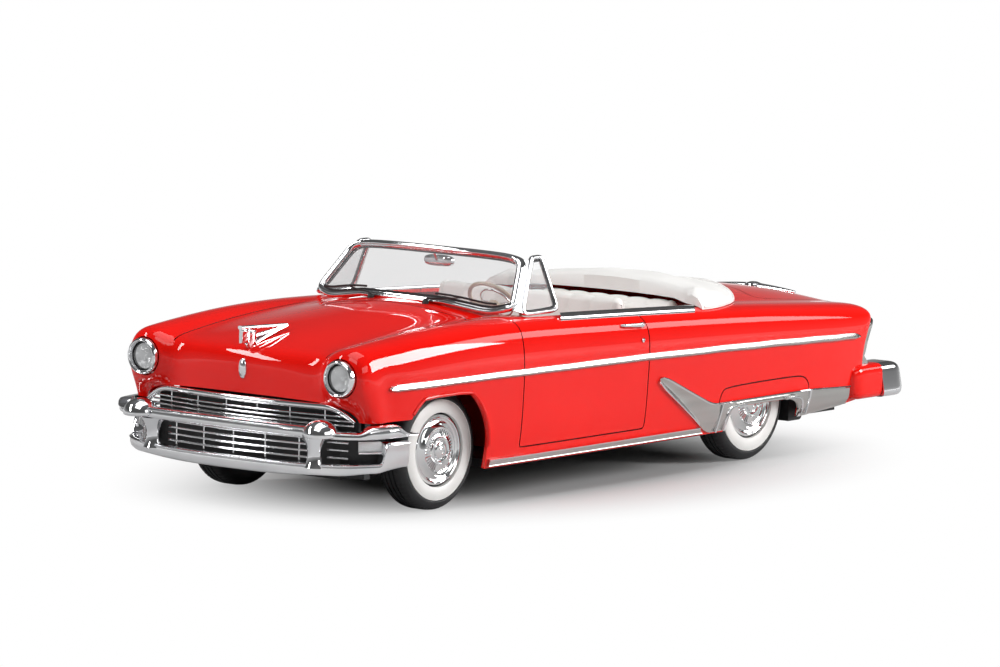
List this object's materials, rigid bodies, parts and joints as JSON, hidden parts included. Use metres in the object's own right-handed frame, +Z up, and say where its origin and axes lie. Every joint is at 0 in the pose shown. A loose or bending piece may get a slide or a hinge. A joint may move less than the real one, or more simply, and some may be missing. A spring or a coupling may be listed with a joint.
{
  "type": "diecast collector car",
  "caption": "Scale diecast model of a 1950s open convertible car with rolling wheels on steel axles, a red enamel body, chrome bumpers and grille, and a white cabin.",
  "frame": {"origin": "on the ground under the middle of the car's box", "axes": "+Z up, -Y towards the nose, +X towards the car's left side"},
  "size_m": [0.0472, 0.1318, 0.0341],
  "materials": {
    "body_enamel": "gloss red enamel",
    "cabin_red": "satin red moulding",
    "base_black": "matt black",
    "axle_steel": "plain drawn steel",
    "tyre_rubber": "matt black rubber",
    "whitewall": "satin white",
    "hubcap_chrome": "bright plated plastic",
    "bright_chrome": "bright plate",
    "satin_foil": "satin foil",
    "seat_white": "satin white moulding with pleats",
    "boot_white": "satin white moulding",
    "wheel_cream": "gloss cream",
    "clear_glazing": "clear moulding",
    "lamp_clear": "clear ribbed lens",
    "lamp_red": "clear red lens",
    "wiper_black": "dark satin"
  },
  "bodies": {
    "car": {"body_shell": "body_enamel", "interior_tub": "cabin_red", "dashboard": "cabin_red", "chassis_base": "base_black", "base_screw_front": "axle_steel", "base_screw_rear": "axle_steel", "front_bumper": "bright_chrome", "rear_bumper": "bright_chrome", "upper_grille": "bright_chrome", "lower_grille": "bright_chrome", "windshield_frame": "bright_chrome", "rear_view_mirror": "bright_chrome", "hood_ornament": "bright_chrome", "trunk_ornament": "bright_chrome", "horn_ring": "bright_chrome", "vent_frame_left": "bright_chrome", "vent_frame_right": "bright_chrome", "headlamp_bezel_left": "bright_chrome", "headlamp_bezel_right": "bright_chrome", "tail_lamp_bezel_left": "bright_chrome", "tail_lamp_bezel_right": "bright_chrome", "door_handle_left": "bright_chrome", "door_handle_right": "bright_chrome", "belt_moulding_left": "bright_chrome", "belt_moulding_right": "bright_chrome", "side_spear_left": "satin_foil", "side_spear_right": "satin_foil", "rocker_moulding_left": "satin_foil", "rocker_moulding_right": "satin_foil", "quarter_trim_left": "satin_foil", "quarter_trim_right": "satin_foil", "front_seat": "seat_white", "rear_seat": "seat_white", "top_boot": "boot_white", "steering_wheel": "wheel_cream", "windshield_glass": "clear_glazing", "vent_glass_left": "clear_glazing", "vent_glass_right": "clear_glazing", "headlamp_lens_left": "lamp_clear", "headlamp_lens_right": "lamp_clear", "parking_lamp_left": "lamp_clear", "parking_lamp_right": "lamp_clear", "tail_lamp_lens_left": "lamp_red", "tail_lamp_lens_right": "lamp_red", "wiper_left": "wiper_black", "wiper_right": "wiper_black"},
    "front_wheelset": {"front_axle": "axle_steel", "tyre_front_left": "tyre_rubber", "tyre_front_right": "tyre_rubber", "whitewall_front_left": "whitewall", "whitewall_front_right": "whitewall", "hubcap_front_left": "hubcap_chrome", "hubcap_front_right": "hubcap_chrome"},
    "rear_wheelset": {"rear_axle": "axle_steel", "tyre_rear_left": "tyre_rubber", "tyre_rear_right": "tyre_rubber", "whitewall_rear_left": "whitewall", "whitewall_rear_right": "whitewall", "hubcap_rear_left": "hubcap_chrome", "hubcap_rear_right": "hubcap_chrome"}
  },
  "joints": [
    {"name": "front_axle_roll", "type": "hinge", "parent": "car", "child": "front_wheelset", "pos_m": [0, -0.04172, 0.0085], "axis": [1, 0, 0], "continuous": true},
    {"name": "rear_axle_roll", "type": "hinge", "parent": "car", "child": "rear_wheelset", "pos_m": [0, 0.03098, 0.0085], "axis": [1, 0, 0], "continuous": true}
  ]
}
